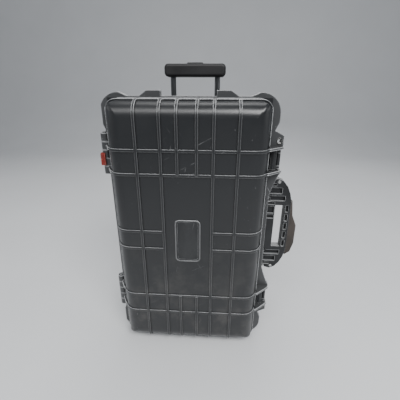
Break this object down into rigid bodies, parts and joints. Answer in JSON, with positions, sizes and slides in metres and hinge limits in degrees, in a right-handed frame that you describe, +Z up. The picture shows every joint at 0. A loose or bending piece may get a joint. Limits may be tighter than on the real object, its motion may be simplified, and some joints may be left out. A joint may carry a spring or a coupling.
{
  "type": "hard equipment case",
  "caption": "Black ribbed moulded equipment case standing on its wheel end, with hinged lid, latches, padlock ears, fold-down carry handles and telescoping trolley handle.",
  "frame": {"origin": "middle of the footprint at floor level, as the case stands on its wheel end with the side handle out", "axes": "+Z up along the case's length, +Y from the lid to the back, +X towards the latches and side handle"},
  "size_m": [0.407, 0.232, 0.6145],
  "materials": {
    "shell": "textured charcoal polypropylene, scuffed pale on rib crests and edges",
    "hardware_plastic": "black glass-filled nylon, fine grain",
    "grip_rubber": "over-moulded dark brown-grey rubber",
    "seal_rubber": "smooth black elastomer",
    "tyre": "hard polyurethane",
    "wheel_plastic": "dark grey nylon",
    "label": "blank moulded name plate",
    "marker_red": "red moulded clip",
    "steel": "stainless steel",
    "tube_metal": "dark anodised aluminium tube"
  },
  "bodies": {
    "base": {"base_shell": "shell", "hinge_pins": "steel", "latch_pins": "steel", "valve_body": "hardware_plastic", "valve_vent": "hardware_plastic", "side_handle_pins": "steel", "top_handle_pins": "steel", "channel_cover": "hardware_plastic", "cover_screws": "steel", "tube_foot": "hardware_plastic", "tube_collar": "hardware_plastic", "trolley_outer_tubes": "tube_metal", "wheel_axles": "steel"},
    "lid": {"lid_shell": "shell", "lid_seal": "seal_rubber", "label_plate": "label", "padlock_eyelets": "steel", "hinge_marker": "marker_red"},
    "latch_upper": {"latch_hook_upper": "hardware_plastic", "lever_pin_upper": "steel"},
    "latch_lower": {"latch_hook_lower": "hardware_plastic", "lever_pin_lower": "steel"},
    "lever_upper": {"latch_lever_upper": "hardware_plastic"},
    "lever_lower": {"latch_lever_lower": "hardware_plastic"},
    "side_handle": {"side_handle_frame": "hardware_plastic", "side_handle_grip": "grip_rubber", "side_handle_rivets": "steel"},
    "top_handle": {"top_handle_frame": "hardware_plastic", "top_handle_grip": "grip_rubber"},
    "trolley_middle": {"trolley_middle_tubes": "tube_metal"},
    "trolley": {"trolley_inner_tubes": "tube_metal", "trolley_grip": "hardware_plastic", "button_spring": "steel"},
    "release": {"release_button": "hardware_plastic", "release_link": "tube_metal"},
    "wheel_right": {"tyre_right": "tyre", "hub_right": "wheel_plastic", "bearings_right": "steel"},
    "wheel_left": {"tyre_left": "tyre", "hub_left": "wheel_plastic", "bearings_left": "steel"}
  },
  "joints": [
    {"name": "lid_hinge", "type": "hinge", "parent": "base", "child": "lid", "pos_m": [-0.1905, -0.063, 0.2775], "axis": [0, 0, -1], "range_deg": [0, 105]},
    {"name": "latch_upper_hook", "type": "hinge", "parent": "base", "child": "latch_upper", "pos_m": [0.1335, -0.029, 0.4345], "axis": [0, 0, 1], "range_deg": [0, 90]},
    {"name": "latch_lower_hook", "type": "hinge", "parent": "base", "child": "latch_lower", "pos_m": [0.1335, -0.029, 0.1205], "axis": [0, 0, 1], "range_deg": [0, 90]},
    {"name": "latch_upper_lever", "type": "hinge", "parent": "latch_upper", "child": "lever_upper", "pos_m": [0.14, -0.067, 0.4345], "axis": [0, 0, -1], "range_deg": [0, 75]},
    {"name": "latch_lower_lever", "type": "hinge", "parent": "latch_lower", "child": "lever_lower", "pos_m": [0.14, -0.067, 0.1205], "axis": [0, 0, -1], "range_deg": [0, 75]},
    {"name": "side_handle_fold", "type": "hinge", "parent": "base", "child": "side_handle", "pos_m": [0.1325, -0.025, 0.2775], "axis": [0, 0, 1], "range_deg": [0, 90]},
    {"name": "top_handle_fold", "type": "hinge", "parent": "base", "child": "top_handle", "pos_m": [-0.0285, -0.029, 0.5365], "axis": [1, 0, 0], "range_deg": [0, 90]},
    {"name": "trolley_slide", "type": "slide", "parent": "base", "child": "trolley", "axis": [0, 0, 1], "range_m": [-0.072, 0.398]},
    {"name": "trolley_middle_slide", "type": "slide", "parent": "base", "child": "trolley_middle", "axis": [0, 0, 1], "range_m": [-0.036, 0.199]},
    {"name": "release_press", "type": "slide", "parent": "trolley", "child": "release", "axis": [0, 0, -1], "range_m": [0, 0.003], "stiffness_N_per_m": 600, "springref_m": -0.004, "deforming": ["button_spring"]},
    {"name": "wheel_right_spin", "type": "hinge", "parent": "base", "child": "wheel_right", "pos_m": [0.0835, 0.083, 0.033], "axis": [1, 0, 0], "continuous": true},
    {"name": "wheel_left_spin", "type": "hinge", "parent": "base", "child": "wheel_left", "pos_m": [-0.1405, 0.083, 0.033], "axis": [1, 0, 0], "continuous": true}
  ],
  "couplings": [
    {"joint": "trolley_middle_slide", "follows": "trolley_slide", "ratio": 0.5}
  ]
}
